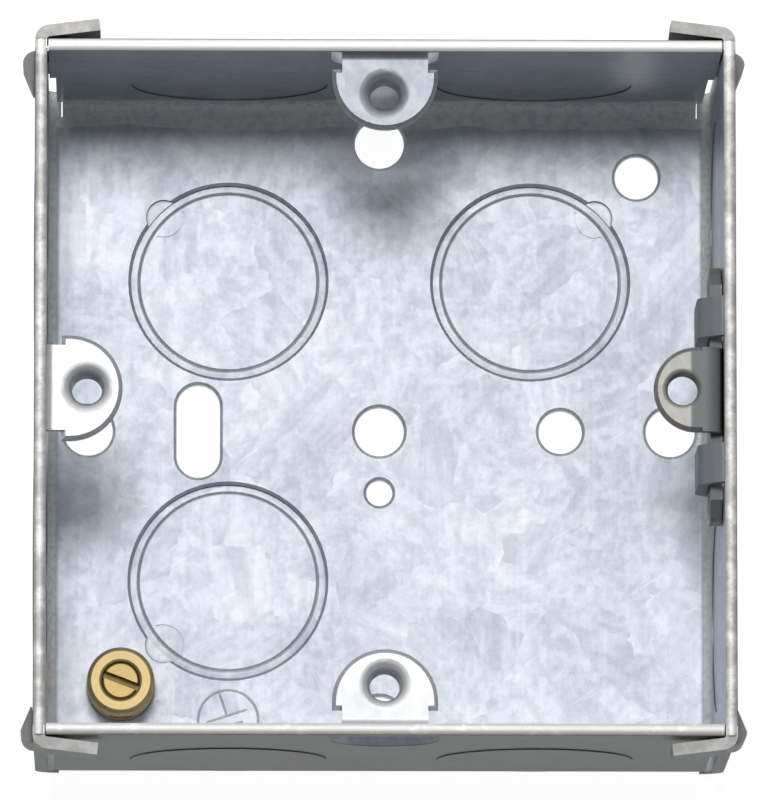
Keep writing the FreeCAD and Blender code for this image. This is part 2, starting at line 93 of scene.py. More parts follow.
def grid_quads(rows: int, columns: int, wrap_rows: bool, wrap_columns: bool) -> Array:
    """Corner numbers of the quads of a grid of points: each quad joins a point to the next row and column.

    Args:
        rows: Number of rows of points.
        columns: Number of points in a row.
        wrap_rows: Whether the last row joins the first.
        wrap_columns: Whether the last point of a row joins its first.

    Returns:
        Array of quads, four point numbers each.
    """
    row = np.arange(rows if wrap_rows else rows - 1)[:, None]
    column = np.arange(columns if wrap_columns else columns - 1)[None, :]
    next_row = (row + 1) % rows
    next_column = (column + 1) % columns
    corners = [
        row * columns + column,
        row * columns + next_column,
        next_row * columns + next_column,
        next_row * columns + column,
    ]
    return np.stack(np.broadcast_arrays(*corners), axis=-1).reshape(-1, 4)


def carried_profile(path: Array, across: Array, upward: Array, profile: Array, scale: Array) -> Array:
    """Points of a profile carried along a path: path point + scale * (u * across + v * upward).

    Args:
        path: Points along the way, one row each.
        across: Direction of the profile's first coordinate at each point.
        upward: Direction of the profile's second coordinate at each point.
        profile: Profile points, two coordinates each.
        scale: Size of the profile at each point of the path.

    Returns:
        Grid of points, one row for each point of the path.
    """
    first = profile[None, :, 0, None] * across[:, None, :]
    second = profile[None, :, 1, None] * upward[:, None, :]
    return path[:, None, :] + scale[:, None, None] * (first + second)


def ellipse(half_width: float, half_height: float, count: int) -> Array:
    """Points round an ellipse: (half width * cos t, half height * sin t).

    Args:
        half_width: Half of its width.
        half_height: Half of its height.
        count: Number of points.

    Returns:
        The points, two coordinates each.
    """
    angle = np.linspace(0.0, math.tau, count, endpoint=False)
    return np.stack([half_width * np.cos(angle), half_height * np.sin(angle)], axis=1)


def mesh_piece(name: str, points: Array, quads: Array) -> bpy.types.Object:
    """Smooth mesh object at the origin from whole arrays of points and quads.

    Args:
        name: Name of the piece.
        points: Points in metres, one row each.
        quads: Four point numbers for each face.

    Returns:
        The new object, linked to the scene.
    """
    mesh = bpy.data.meshes.new(name)
    mesh.from_pydata(points.reshape(-1, 3), [], quads)
    mesh.polygons.foreach_set("use_smooth", np.ones(len(quads), dtype=bool))
    mesh.update()
    piece = bpy.data.objects.new(name, mesh)
    bpy.context.scene.collection.objects.link(piece)
    return piece


@dataclass(frozen=True)
class Grain:
    """Cloudy pattern: features a metre, finer layers, their strength, and a stretch and a turn about Z."""

    scale: float
    detail: float
    roughness: float = 0.5
    stretch: Point = (1.0, 1.0, 1.0)
    turn: float = 0.0


@dataclass(frozen=True)
class Crystals:
    """Frozen zinc: cells a metre, how finely and how far their edges wander, and the feathers in them."""

    cells: float = 170.0
    wander: float = 340.0
    warp: float = 3.0 * MM
    feathers: Grain = Grain(680.0, 4.0, 0.6)
    thinning: Point = (1.0, 0.18, 1.0)


class NodeSheet:
    """Node tree of one material, with short ways to add nodes and join them."""

    def __init__(self, name: str) -> None:
        """Start a material with an output node and no shader.

        Args:
            name: Name of the material.
        """
        self.material = bpy.data.materials.new(name)
        self.material.use_nodes = True
        self.tree = self.material.node_tree
        self.tree.nodes.clear()
        self.output = self.add("ShaderNodeOutputMaterial")
        coordinates = self.add("ShaderNodeTexCoord")
        self.place = coordinates.outputs["Object"]
        self.facing = coordinates.outputs["Normal"]

    def add(self, kind: str, **settings: Any) -> bpy.types.Node:
        """Add a node and set its properties.

        Args:
            kind: Blender's name of the node type.
            settings: Properties of the node.

        Returns:
            The new node.
        """
        node = self.tree.nodes.new(kind)
        for name, value in settings.items():
            setattr(node, name, value)
        return node

    def feed(self, target: Socket, value: Any) -> None:
        """Join a socket to another one, or set it to a plain value.

        Args:
            target: Socket that takes the value.
            value: Socket to join it to, or the plain value.
        """
        if isinstance(value, bpy.types.NodeSocket):
            self.tree.links.new(value, target)
        else:
            target.default_value = value

    def number(self, operation: str, first: Any, second: Any = 0.0) -> Socket:
        """Result of one arithmetic step on two numbers.

        Args:
            operation: Blender's name of the step.
            first: First number.
            second: Second number, which a step on one number leaves out.

        Returns:
            Socket of the result.
        """
        node = self.add("ShaderNodeMath", operation=operation)
        self.feed(node.inputs[0], first)
        self.feed(node.inputs[1], second)
        return node.outputs[0]

    def total(self, *values: Any) -> Socket:
        """Sum of several numbers."""
        return functools.reduce(functools.partial(self.number, "ADD"), values)

    def product(self, *values: Any) -> Socket:
        """Product of several numbers."""
        return functools.reduce(functools.partial(self.number, "MULTIPLY"), values)

    def greatest(self, *values: Any) -> Socket:
        """Greatest of several numbers."""
        return functools.reduce(functools.partial(self.number, "MAXIMUM"), values)

    def mixture(self, *parts: tuple[Socket, float]) -> Socket:
        """Sum of several numbers, each times its own weight."""
        return self.total(*(self.product(value, weight) for value, weight in parts))

    def inverse(self, share: Socket) -> Socket:
        """What a share leaves of the whole."""
        return self.number("SUBTRACT", 1.0, share)

    def size(self, value: Socket) -> Socket:
        """Size of a number without its sign."""
        return self.number("ABSOLUTE", value)

    def span(self, value: Socket, limits: Span, ends: Span = WHOLE) -> Socket:
        """Number carried smoothly between two ends while a value goes from one limit to the other.

        Args:
            value: Number that drives the change.
            limits: Values at which the change starts and stops.
            ends: Results at the first limit and at the second.

        Returns:
            Socket of the result.
        """
        node = self.add("ShaderNodeMapRange", interpolation_type="SMOOTHSTEP")
        for socket, number in zip(node.inputs, (value, *limits, *ends)):
            self.feed(socket, number)
        return node.outputs[0]

    def blend(self, factor: Any, first: Any, second: Any) -> Socket:
        """Colour blended from two colours by a factor.

        Args:
            factor: Share of the second colour.
            first: First colour.
            second: Second colour.

        Returns:
            Socket of the blended colour.
        """
        node = self.add("ShaderNodeMix", data_type="RGBA")
        self.feed(node.inputs["Factor"], factor)
        colours = [socket for socket in node.inputs if socket.type == "RGBA"]
        self.feed(colours[0], first)
        self.feed(colours[1], second)
        return next(socket for socket in node.outputs if socket.type == "RGBA")

    def vector(self, operation: str, first: Socket, second: Any = None) -> Socket:
        """Result of one step on a vector, with a number as the second value of a SCALE step.

        Args:
            operation: Blender's name of the step.
            first: Vector that the step starts from.
            second: Other vector or number, or None where the step has none.

        Returns:
            Socket of the resulting vector.
        """
        node = self.add("ShaderNodeVectorMath", operation=operation)
        self.feed(node.inputs[0], first)
        if second is not None:
            self.feed(node.inputs["Scale" if operation == "SCALE" else 1], second)
        return node.outputs[0]

    def axes(self, vector: Socket) -> tuple[Socket, Socket, Socket]:
        """The three numbers of a vector.

        Args:
            vector: Vector to take apart.

        Returns:
            Sockets of its numbers along X, Y and Z.
        """
        split = self.add("ShaderNodeSeparateXYZ")
        self.feed(split.inputs[0], vector)
        return split.outputs["X"], split.outputs["Y"], split.outputs["Z"]

    def noise(self, where: Socket, form: Grain) -> Socket:
        """Cloudy number at the given coordinates, neither stretched nor turned.

        Args:
            where: Coordinates of the pattern.
            form: Sizes of the pattern.

        Returns:
            Socket of a number between 0 and 1.
        """
        node = self.add("ShaderNodeTexNoise")
        self.feed(node.inputs["Vector"], where)
        node.inputs["Scale"].default_value = form.scale
        node.inputs["Detail"].default_value = form.detail
        node.inputs["Roughness"].default_value = form.roughness
        return node.outputs[0]

    def grain(self, form: Grain) -> Socket:
        """Cloudy number on the piece, stretched along its axes and then turned about Z.

        Args:
            form: Sizes, stretch and turn of the pattern.

        Returns:
            Socket of a number between 0 and 1.
        """
        node = self.add("ShaderNodeMapping", vector_type="TEXTURE")
        node.inputs["Rotation"].default_value = (0.0, 0.0, math.radians(form.turn))
        node.inputs["Scale"].default_value = form.stretch
        self.feed(node.inputs["Vector"], self.place)
        return self.noise(node.outputs[0], form)

    def crystals(self, form: Crystals) -> tuple[Socket, Socket]:
        """Cells of frozen zinc, each with feathers that run its own way.

        Args:
            form: Sizes of the cells and their feathers.

        Returns:
            A number of its own for each cell, and the cloudy number of the feathers in it.
        """
        wander = self.add("ShaderNodeTexNoise")
        self.feed(wander.inputs["Vector"], self.place)
        wander.inputs["Scale"].default_value = form.wander
        shift = self.vector("SCALE", wander.outputs["Color"], form.warp)
        cells = self.add("ShaderNodeTexVoronoi", feature="F1")
        self.feed(cells.inputs["Vector"], self.vector("ADD", self.place, shift))
        cells.inputs["Scale"].default_value = form.cells
        split = self.add("ShaderNodeSeparateColor")
        self.feed(split.inputs[0], cells.outputs["Color"])
        turn = self.add("ShaderNodeVectorRotate", rotation_type="EULER_XYZ")
        self.feed(turn.inputs["Vector"], self.place)
        self.feed(turn.inputs["Rotation"], self.vector("SCALE", cells.outputs["Color"], math.tau))
        thinned = self.vector("MULTIPLY", turn.outputs[0], form.thinning)
        return split.outputs[0], self.noise(thinned, form.feathers)

    def levelled(self, share: Socket) -> Socket:
        """Normal of the surface, turned towards the piece's own up direction: unit(normal + share * up).

        Args:
            share: How far it is turned.

        Returns:
            Socket of the normal.
        """
        flat = self.add("ShaderNodeNewGeometry")
        upright = self.add(
            "ShaderNodeVectorTransform", vector_type="NORMAL", convert_from="OBJECT", convert_to="WORLD")
        upright.inputs[0].default_value = UP
        lift = self.vector("SCALE", upright.outputs[0], share)
        return self.vector("NORMALIZE", self.vector("ADD", flat.outputs["Normal"], lift))

    def crevice(self, reach: float) -> Socket:
        """Openness of the surface within a reach.

        Args:
            reach: How far to look for other surfaces, in metres.

        Returns:
            Socket of a number, 1 in the open and near 0 deep in a corner.
        """
        node = self.add("ShaderNodeAmbientOcclusion", samples=CREVICE_SAMPLES)
        node.inputs["Distance"].default_value = reach
        return node.outputs["AO"]

    def bump(self, height: Socket, strength: float, depth: float, normal: Socket | None = None) -> Socket:
        """Normal of the surface with a relief on it.

        Args:
            height: Height of the relief, between 0 and 1.
            strength: Share of the relief that shows.
            depth: Full depth of the relief, in metres.
            normal: Normal to start from, or None for the surface's own.

        Returns:
            Socket of the normal.
        """
        node = self.add("ShaderNodeBump")
        node.inputs["Strength"].default_value = strength
        node.inputs["Distance"].default_value = depth
        self.feed(node.inputs["Height"], height)
        if normal is not None:
            self.feed(node.inputs["Normal"], normal)
        return node.outputs[0]

    def metal(self, metallic: Any, colour: Any, roughness: Any, normal: Any) -> None:
        """Finish the sheet with a metal shader.

        Args:
            metallic: Share of metal.
            colour: Colour of the surface.
            roughness: Roughness of the surface.
            normal: Normal of the surface.
        """
        shader = self.add("ShaderNodeBsdfPrincipled")
        self.feed(shader.inputs["Metallic"], metallic)
        self.feed(shader.inputs["Base Color"], colour)
        self.feed(shader.inputs["Roughness"], roughness)
        self.feed(shader.inputs["Normal"], normal)
        self.feed(self.output.inputs["Surface"], shader.outputs[0])


@dataclass(frozen=True)
class ZincPattern:
    """Cloudy numbers of one zinc finish, each between 0 and 1."""

    clouds: Socket
    cell: Socket
    feathers: Socket
    specks: Socket
    rolled: Socket
    scratches: Socket


@dataclass(frozen=True)
class BoxZones:
    """Places where the folded sheet is coloured, worn or given painted light and shade in its own way, each
    a share between 0 and 1.
    """

    level: Socket
    low_lugs: Socket
    top_lug: Socket
    top_wall: Socket
    top_side: Socket
    bottom_side: Socket
    loop: Socket
    fold: Socket
    cut: Socket
    beyond: Socket
    shaded_outside: Socket
    rim: Socket


@dataclass(frozen=True)
class ZincFinish:
    """Zinc on rolled sheet: faint crystals, scratches, bare cut edges and a dull outside, with grime and
    painted shade in gaps, painted shade on the top wall and the outer faces, and painted highlights on the
    top and bottom cut edges and along the upper fold.
    """

    name: str

    # Colours
    pale: Colour = (0.80, 0.835, 0.895, 1.0)
    dull: Colour = (0.455, 0.49, 0.565, 1.0)
    # Grime and painted shade for gaps and corners, where the surface is least open.
    grime_and_painted_shade: Colour = (0.11, 0.10, 0.085, 1.0)
    bare: Colour = (0.50, 0.485, 0.47, 1.0)
    # Painted shade: a darker colour for the outer faces of the walls and the back, which the corner tabs
    # also take.
    shaded_outside: Colour = (0.33, 0.335, 0.325, 1.0)
    # Painted shade: slate darkens the top wall's inner face. The same slate also darkens the top lug and the
    # loops.
    slate_and_painted_shade: Colour = (0.24, 0.27, 0.29, 1.0)
    # Rubbed zinc for scratches and the lug faces. The same colour is the painted highlight on the top and
    # bottom cut edges.
    rubbed_and_painted_highlight: Colour = (0.95, 0.95, 0.94, 1.0)
    # Crazed zinc with a painted highlight: the pale ragged band along the upper fold and on the back beside
    # it.
    strained_and_painted_highlight: Colour = (0.95, 0.98, 0.95, 1.0)

    # Patterns, and the part of each one's range that counts
    crystals: Crystals = Crystals()
    clouds: Grain = Grain(85.0, 4.0, 0.6)
    specks: Grain = Grain(1500.0, 3.0, 0.65)
    rolling: Grain = Grain(2200.0, 2.0, 0.6, (1.0, 25.0, 8.0))
    long_scratches: Grain = Grain(1900.0, 1.0, 0.5, (1.0, 16.0, 4.0), 24.0)
    short_scratches: Grain = Grain(1600.0, 1.0, 0.5, (1.0, 12.0, 4.0), -57.0)
    streaks: Grain = Grain(420.0, 4.0, 0.7)
    usual: Span = (0.3, 0.7)
    cloud_range: Span = (0.32, 0.68)
    feather_range: Span = (0.35, 0.65)
    long_range: Span = (0.70, 0.76)
    short_range: Span = (0.71, 0.77)
    craze_and_highlight_range: Span = (0.35, 0.6)
    edge_range: Span = (0.35, 0.75)
    tab_range: Span = (0.4, 0.7)

    # Places on the box: heights, distances from its middle, and how far the surface faces upward
    edge: Span = (35.18 * MM, 35.28 * MM)
    skin: Span = (35.36 * MM, 35.44 * MM)
    lug_face: Span = (33.2 * MM, 33.6 * MM)
    top_lug: Span = (24.0 * MM, 25.0 * MM)
    top_wall: Span = (33.6 * MM, 34.1 * MM)
    bottom_wall: Span = (-33.6 * MM, -34.1 * MM)
    fold_height: Span = (5.0 * MM, 3.0 * MM)
    fold_reach: Span = (32.6 * MM, 33.0 * MM)
    band_reach: Span = (31.7 * MM, 31.9 * MM)
    ragged_fold: float = 8.0 * MM
    ragged_band: float = 2.8 * MM
    rim_height: Span = (1.19 * MM, 1.15 * MM)
    loop_inside: Span = (30.8 * MM, 31.2 * MM)
    loop_outside: Span = (34.2 * MM, 34.0 * MM)
    loop_side: Span = (12.5 * MM, 12.0 * MM)
    loop_foot: Span = (21.0 * MM, 21.5 * MM)
    gap_reach: float = 0.5 * MM
    gap_range: Span = (0.4, 0.92)
    level_facing: Span = (0.35, 0.75)
    fold_facing: Span = (0.985, 0.9)
    inner_facing: Span = (-0.5, -0.2)
    rim_facing: Span = (0.55, 0.95)

    # Shares of each pattern and coat
    cloud_tone: float = 0.26
    cell_tone: float = 0.2
    feather_tone: float = 0.3
    rolling_tone: float = 0.1
    speck_tone: float = 0.22
    scratch_share: float = 0.18
    polish_share: Span = (0.5, 0.8)
    top_lug_share: float = 0.35
    top_wall_share: Span = (0.25, 0.55)
    loop_share: float = 0.75
    band_share: float = 0.85
    craze_and_highlight_share: Span = (0.5, 1.0)
    bottom_edge_highlight_share: float = 0.55
    outside_shade_share: float = 0.74
    rim_unshaded_share: float = 0.92

    # Shine and relief
    metallic: float = 0.55
    worn_metallic: float = 0.1
    worn_share: float = 0.7
    upright_and_level_rough: Span = (0.37, 0.455)
    feather_rough: Span = (0.007, -0.007)
    cell_rough: Span = (0.004, -0.004)
    worn_rough: float = 0.25
    feather_relief: float = 0.5
    speck_relief: float = 0.5
    rolling_relief: float = 0.2
    scratch_relief: float = -0.4
    relief_strength: float = 0.35
    relief_depth: float = 0.025 * MM
    rim_levelling: float = 8.0
    cut_levelling: float = 1.2

    def pattern(self, sheet: NodeSheet) -> ZincPattern:
        """Cloudy numbers of the finish.

        Args:
            sheet: Sheet that the finish is built on.

        Returns:
            The numbers by name.
        """
        cell, feathers = sheet.crystals(self.crystals)
        long_ones = sheet.span(sheet.grain(self.long_scratches), self.long_range)
        short_ones = sheet.span(sheet.grain(self.short_scratches), self.short_range)
        return ZincPattern(
            clouds=sheet.grain(self.clouds),
            cell=cell,
            feathers=feathers,
            specks=sheet.grain(self.specks),
            rolled=sheet.grain(self.rolling),
            scratches=sheet.greatest(long_ones, short_ones),
        )

    def zones(self, sheet: NodeSheet, pattern: ZincPattern) -> BoxZones:
        """Places on the folded sheet that have a look of their own.

        Args:
            sheet: Sheet that the finish is built on.
            pattern: Cloudy numbers of the finish, which make the fold's edges ragged.

        Returns:
            The share of each place by name.
        """
        along, across, height = sheet.axes(sheet.place)
        side = sheet.size(across)
        reach = sheet.greatest(sheet.size(along), side)
        upward = sheet.axes(sheet.facing)[2]
        level = sheet.span(upward, self.level_facing)
        lug = sheet.product(level, sheet.span(height, self.lug_face))
        on_top_lug = sheet.span(across, self.top_lug)
        top_side = sheet.span(across, self.top_wall)
        cut = sheet.span(height, self.edge)
        beyond = sheet.span(reach, self.skin)

        wave = sheet.number("SUBTRACT", pattern.clouds, 0.5)
        fold_top = sheet.total(height, sheet.product(wave, self.ragged_fold))
        band_edge = sheet.total(across, sheet.product(wave, self.ragged_band))
        fold = sheet.product(
            sheet.span(upward, self.fold_facing),
            sheet.span(fold_top, self.fold_height),
            sheet.span(reach, self.fold_reach),
        )
        # Band on the flat back beside the upper fold, where a painted highlight stands in for a wider lit
        # fold.
        band = sheet.product(
            sheet.span(band_edge, self.band_reach),
            sheet.span(height, self.fold_height),
            sheet.span(upward, self.inner_facing),
            self.band_share,
        )
        loop = sheet.product(
            sheet.span(along, self.loop_inside),
            sheet.span(along, self.loop_outside),
            sheet.span(side, self.loop_side),
            sheet.span(height, self.loop_foot),
            self.loop_share,
        )
        return BoxZones(
            level=level,
            low_lugs=sheet.product(lug, sheet.inverse(on_top_lug)),
            top_lug=sheet.product(lug, on_top_lug),
            top_wall=sheet.product(sheet.inverse(level), top_side),
            top_side=top_side,
            bottom_side=sheet.span(across, self.bottom_wall),
            loop=loop,
            fold=sheet.product(sheet.greatest(fold, band), sheet.inverse(beyond)),
            cut=cut,
            beyond=beyond,
            shaded_outside=sheet.product(beyond, sheet.inverse(cut)),
            rim=sheet.product(sheet.span(upward, self.rim_facing), sheet.span(height, self.rim_height)),
        )

    def edge_colour(self, sheet: NodeSheet, zones: BoxZones) -> Socket:
        """Colour of the cut front edge: bare steel with rubbed streaks, and a painted highlight on the top
        and bottom edges.

        Args:
            sheet: Sheet that the finish is built on.
            zones: Places on the folded sheet.

        Returns:
            Socket of the colour, with that of the corner tabs beyond the walls.
        """
        streaks = sheet.grain(self.streaks)
        # Painted highlight: the top edge goes fully, and the bottom edge partly, to the brightest colour.
        bottom = sheet.product(zones.bottom_side, self.bottom_edge_highlight_share)
        brightness = sheet.greatest(sheet.span(streaks, self.edge_range), zones.top_side, bottom)
        walls = sheet.blend(brightness, self.bare, self.rubbed_and_painted_highlight)
        # The corner tabs mix bare steel into the painted shade of the outer faces.
        tabs = sheet.blend(sheet.span(streaks, self.tab_range), self.shaded_outside, self.bare)
        return sheet.blend(zones.beyond, walls, tabs)

    def colour(self, sheet: NodeSheet, pattern: ZincPattern, zones: BoxZones) -> Socket:
        """Colour of the zinc, with coats of wear, grime, painted shade and painted highlight, each laid over
        the ones before it.

        Args:
            sheet: Sheet that the finish is built on.
            pattern: Cloudy numbers of the finish.
            zones: Places on the folded sheet.

        Returns:
            Socket of the colour.
        """
        tone = sheet.mixture(
            (sheet.span(pattern.clouds, self.cloud_range), self.cloud_tone),
            (pattern.cell, self.cell_tone),
            (sheet.span(pattern.feathers, self.feather_range), self.feather_tone),
            (sheet.span(pattern.rolled, self.usual), self.rolling_tone),
            (sheet.span(pattern.specks, self.usual), self.speck_tone),
        )
        polish = sheet.span(pattern.clouds, self.usual, self.polish_share)
        shade = sheet.span(pattern.clouds, self.usual, self.top_wall_share)
        craze_and_highlight = sheet.span(pattern.specks, self.craze_and_highlight_range, self.craze_and_highlight_share)
        # Grime and painted shade darken the surface where it is closed in, except on the rims.
        in_the_open = sheet.span(sheet.crevice(self.gap_reach), self.gap_range)
        free_of_grime_and_shade = sheet.greatest(in_the_open, sheet.product(zones.rim, self.rim_unshaded_share))
        coats = (
            (sheet.product(pattern.scratches, self.scratch_share), self.rubbed_and_painted_highlight),
            (sheet.product(zones.low_lugs, polish), self.rubbed_and_painted_highlight),
            # The top lug's face is darkened towards slate.
            (sheet.product(zones.top_lug, self.top_lug_share), self.slate_and_painted_shade),
            # Painted shade on the top wall's inner face, mottled by the clouds.
            (sheet.product(zones.top_wall, shade), self.slate_and_painted_shade),
            # The loops are darkened towards slate.
            (zones.loop, self.slate_and_painted_shade),
            # Crazed zinc and painted highlight: a pale ragged band along the upper fold.
            (sheet.product(zones.fold, craze_and_highlight), self.strained_and_painted_highlight),
            (zones.cut, self.edge_colour(sheet, zones)),
            # Painted shade that darkens the outer faces.
            (sheet.product(zones.shaded_outside, self.outside_shade_share), self.shaded_outside),
            # Grime and painted shade in gaps and corners.
            (sheet.inverse(free_of_grime_and_shade), self.grime_and_painted_shade),
        )
        colour = sheet.blend(tone, self.dull, self.pale)
        for share, coat_colour in coats:
            colour = sheet.blend(share, colour, coat_colour)
        return colour

    def relief(self, sheet: NodeSheet, pattern: ZincPattern, zones: BoxZones) -> Socket:
        """Normal of the surface: fine relief, on a rim and a cut edge that catch the light as level ones do.

        Args:
            sheet: Sheet that the finish is built on.
            pattern: Cloudy numbers of the finish.
            zones: Places on the folded sheet.

        Returns:
            Socket of the normal.
        """
        height = sheet.mixture(
            (pattern.feathers, self.feather_relief),
            (pattern.specks, self.speck_relief),
            (pattern.rolled, self.rolling_relief),
            (pattern.scratches, self.scratch_relief),
        )
        rim = sheet.product(zones.rim, self.rim_levelling)
        cut = sheet.product(zones.cut, self.cut_levelling)
        flattened = sheet.levelled(sheet.greatest(rim, cut))
        return sheet.bump(height, self.relief_strength, self.relief_depth, flattened)

    def material(self) -> bpy.types.Material:
        """Build the finish on the piece's own coordinates.

        Returns:
            The finished material.
        """
        sheet = NodeSheet(self.name)
        pattern = self.pattern(sheet)
        zones = self.zones(sheet, pattern)
        worn_inside = sheet.product(sheet.greatest(zones.fold, zones.loop), self.worn_share)
        worn = sheet.greatest(zones.shaded_outside, worn_inside)
        rough = sheet.total(
            sheet.span(zones.level, WHOLE, self.upright_and_level_rough),
            sheet.span(pattern.feathers, self.feather_range, self.feather_rough),
            sheet.span(pattern.cell, WHOLE, self.cell_rough),
            sheet.product(worn, self.worn_rough),
        )
        metallic = sheet.span(worn, WHOLE, (self.metallic, self.worn_metallic))
        colour = self.colour(sheet, pattern, zones)
        sheet.metal(metallic, colour, rough, self.relief(sheet, pattern, zones))
        return sheet.material


@dataclass(frozen=True)
class BrassFinish:
    """Turned brass: fine rings about the terminal's axis, mottled tarnish, and dirt with painted shade low
    down and in gaps.
    """

    name: str
    axis: Spot = (-26.7 * MM, -26.7 * MM)
    bright: Colour = (0.78, 0.62, 0.34, 1.0)
    tarnish: Colour = (0.58, 0.42, 0.16, 1.0)
    # Dirt and painted shade, for gaps and the low part of the screw.
    dirt_and_painted_shade: Colour = (0.26, 0.175, 0.07, 1.0)
    rings: Grain = Grain(9000.0, 2.0, 0.6)
    clouds: Grain = Grain(700.0, 3.0, 0.6)
    ring_tone: float = 0.55
    cloud_tone: float = 0.6
    tone_range: Span = (0.35, 0.75)
    gap_reach: float = 0.6 * MM
    gap_range: Span = (0.2, 0.7)
    dirt_and_shade_height: Span | None = None
    metallic: float = 0.75
    cloud_range: Span = (0.3, 0.7)
    rough: Span = (0.46, 0.52)
    relief_strength: float = 0.25
    relief_depth: float = 0.02 * MM

    def material(self) -> bpy.types.Material:
        """Build the finish on the piece's own coordinates, with rings by sqrt(x * x + y * y) from the axis.

        Returns:
            The finished material.
        """
        sheet = NodeSheet(self.name)
        along, across, height = sheet.axes(sheet.place)
        along = sheet.number("SUBTRACT", along, self.axis[0])
        across = sheet.number("SUBTRACT", across, self.axis[1])
        square = sheet.total(sheet.number("POWER", along, 2.0), sheet.number("POWER", across, 2.0))
        ring_place = sheet.add("ShaderNodeCombineXYZ")
        sheet.feed(ring_place.inputs["X"], sheet.number("SQRT", square))
        sheet.feed(ring_place.inputs["Z"], height)
        rings = sheet.noise(ring_place.outputs[0], self.rings)
        clouds = sheet.grain(self.clouds)
        tone = sheet.mixture((rings, self.ring_tone), (clouds, self.cloud_tone))
        colour = sheet.blend(sheet.span(tone, self.tone_range), self.tarnish, self.bright)
        # Dirt and painted shade darken the brass where it is closed in.
        in_the_open = sheet.span(sheet.crevice(self.gap_reach), self.gap_range)
        colour = sheet.blend(in_the_open, self.dirt_and_painted_shade, colour)
        if self.dirt_and_shade_height is not None:
            colour = sheet.blend(sheet.span(height, self.dirt_and_shade_height), self.dirt_and_painted_shade, colour)
        rough = sheet.span(clouds, self.cloud_range, self.rough)
        relief = sheet.bump(rings, self.relief_strength, self.relief_depth)
        sheet.metal(self.metallic, colour, rough, relief)
        return sheet.material


@dataclass
class ScrewThread:
    """Thread of a drawn screw hole: a ridge that winds down the straight part of the hole."""

    name: str
    axis: Spot
    top: float
    bottom: float
    body: Body
    bore: float = 1.6 * MM
    crest: float = 0.07 * MM
    sunk: float = 0.02 * MM
    pitch: float = 0.6 * MM
    flank: float = 0.24 * MM
    fade_turns: float = 0.25
    thin_end: float = 0.02
    steps_a_turn: int = 40
    profile_points: int = 10

    def build(self) -> bpy.types.Object:
        """Make the ridge: a rounded profile on the helix (bore cos t, bore sin t, top - pitch t / 2 pi).

        The profile fades to almost nothing at both ends of the helix.

        Returns:
            The ridge, in place in its hole.
        """
        turns = (self.top - self.bottom) / self.pitch
        angle = np.linspace(0.0, math.tau * turns, int(self.steps_a_turn * turns) + 1)
        outward = np.stack([np.cos(angle), np.sin(angle), np.zeros_like(angle)], axis=1)
        path = np.array([*self.axis, 0.0]) + (self.bore + self.sunk) * outward
        path[:, 2] = self.top - self.pitch * angle / math.tau
        fade = np.minimum(angle, angle[::-1]) / (self.fade_turns * math.tau)
        profile = ellipse(self.crest + self.sunk, self.flank, self.profile_points)
        upward = np.tile(UP, (len(angle), 1))
        points = carried_profile(path, -outward, upward, profile, np.clip(fade, self.thin_end, 1.0))
        piece = mesh_piece(self.name, points, grid_quads(len(angle), len(profile), False, True))
        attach(piece, self.body.value)
        return piece


